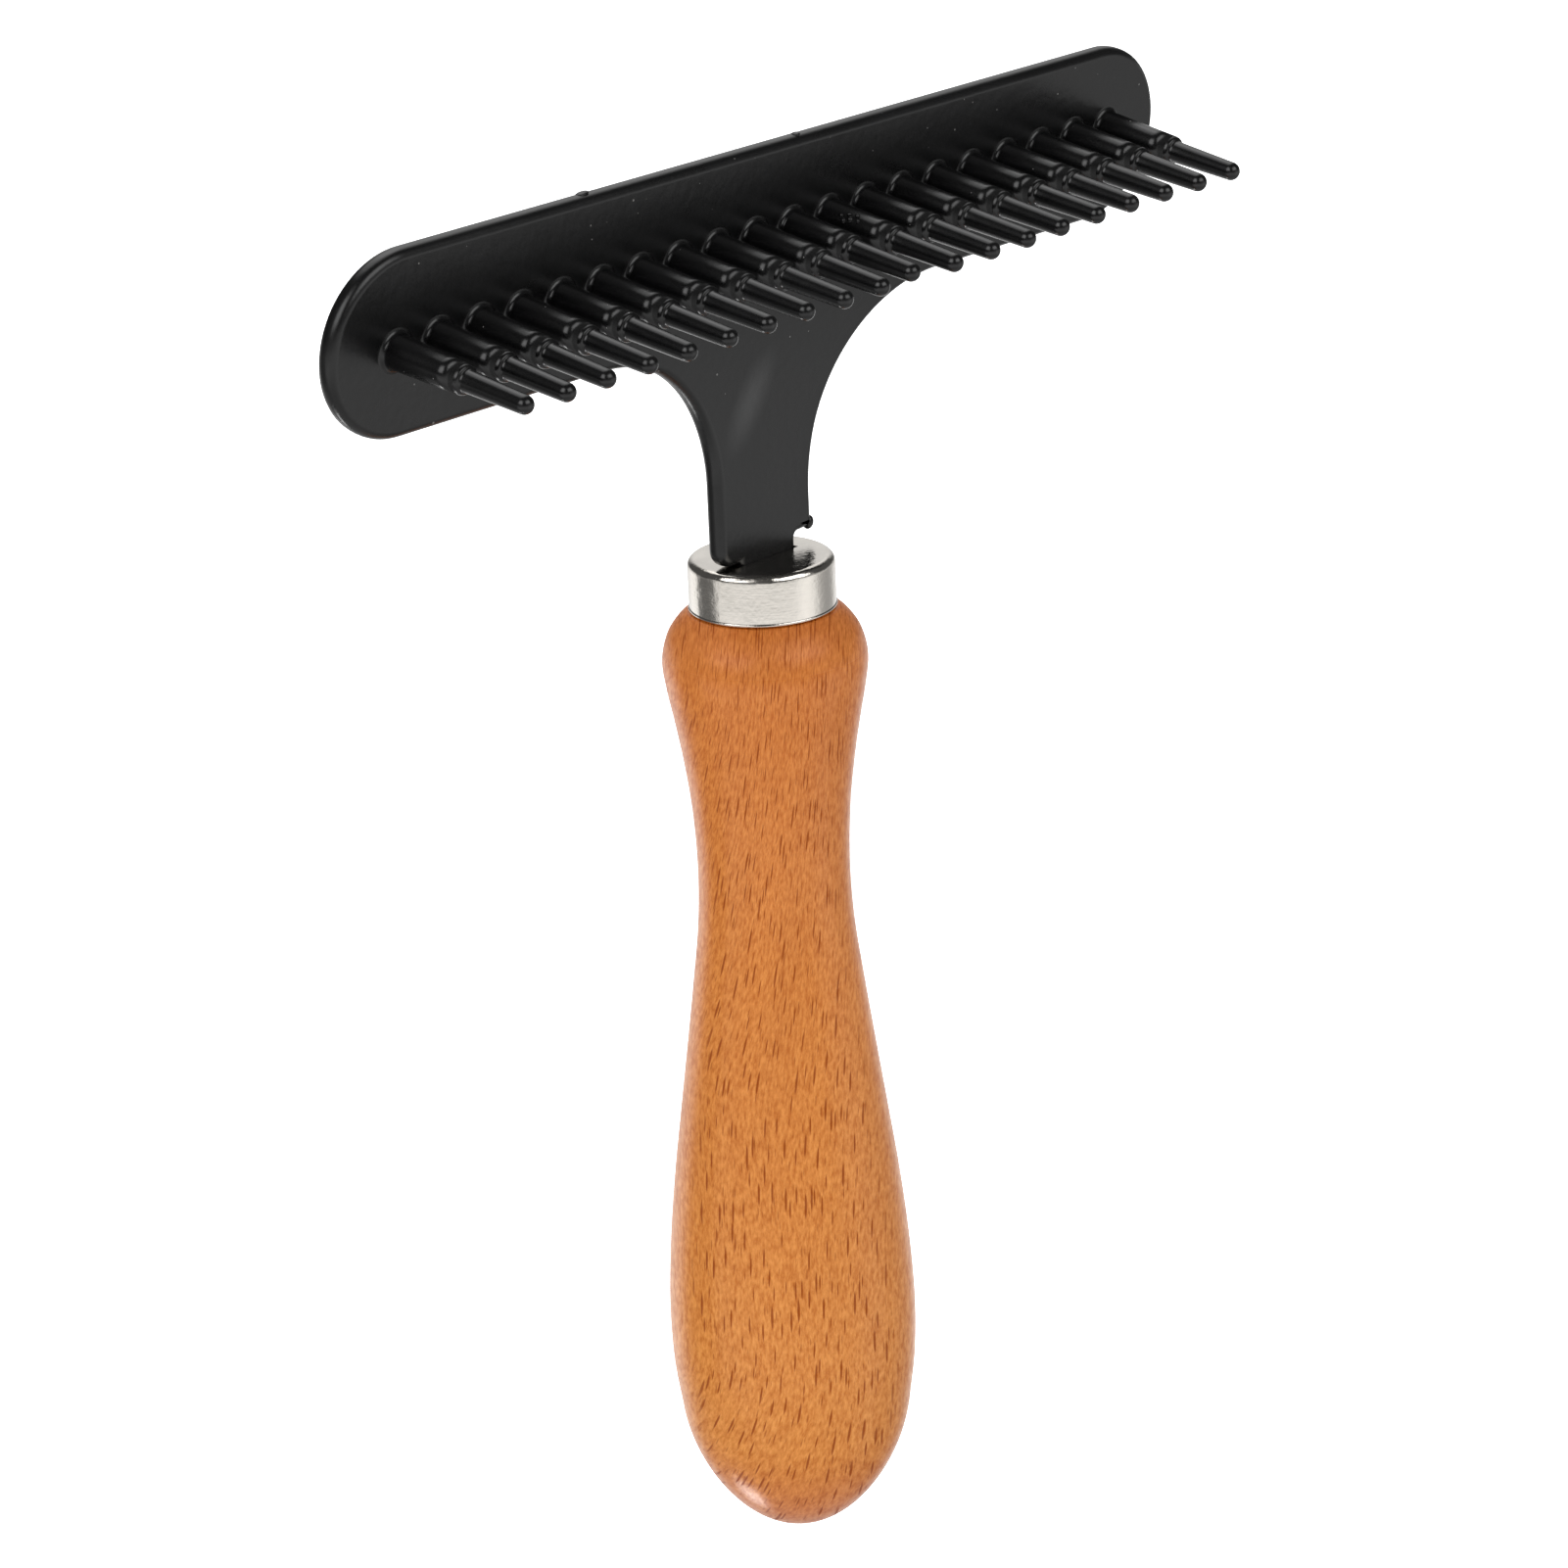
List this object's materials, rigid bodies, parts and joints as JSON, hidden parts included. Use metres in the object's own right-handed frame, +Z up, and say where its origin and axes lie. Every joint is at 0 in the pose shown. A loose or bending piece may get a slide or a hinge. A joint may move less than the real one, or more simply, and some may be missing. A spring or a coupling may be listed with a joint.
{
  "type": "deshedding rake",
  "caption": "Hand-held pet deshedding rake: T-shaped coated steel head with a single row of stepped pins, plated ferrule and turned beech handle.",
  "frame": {"origin": "middle of the grip, on the handle's axis, where the hand closes round it", "axes": "+Z up the handle's axis towards the head, the bar lies along X, the pins point to -Y"},
  "size_m": [0.1322, 0.0382, 0.1695],
  "materials": {
    "black_coat": "satin black powder coat on stamped steel",
    "black_pin": "semi-gloss black coat on turned steel pins",
    "nickel_plate": "bright nickel plate on drawn sheet steel",
    "beech": "turned beech, orange-brown satin varnish"
  },
  "bodies": {
    "root": {"head_plate": "black_coat", "pin_01": "black_pin", "pin_02": "black_pin", "pin_03": "black_pin", "pin_04": "black_pin", "pin_05": "black_pin", "pin_06": "black_pin", "pin_07": "black_pin", "pin_08": "black_pin", "pin_09": "black_pin", "pin_10": "black_pin", "pin_11": "black_pin", "pin_12": "black_pin", "pin_13": "black_pin", "pin_14": "black_pin", "pin_15": "black_pin", "pin_16": "black_pin", "pin_17": "black_pin", "pin_18": "black_pin", "pin_19": "black_pin", "pin_20": "black_pin", "ferrule": "nickel_plate", "handle": "beech"}
  },
  "joints": []
}
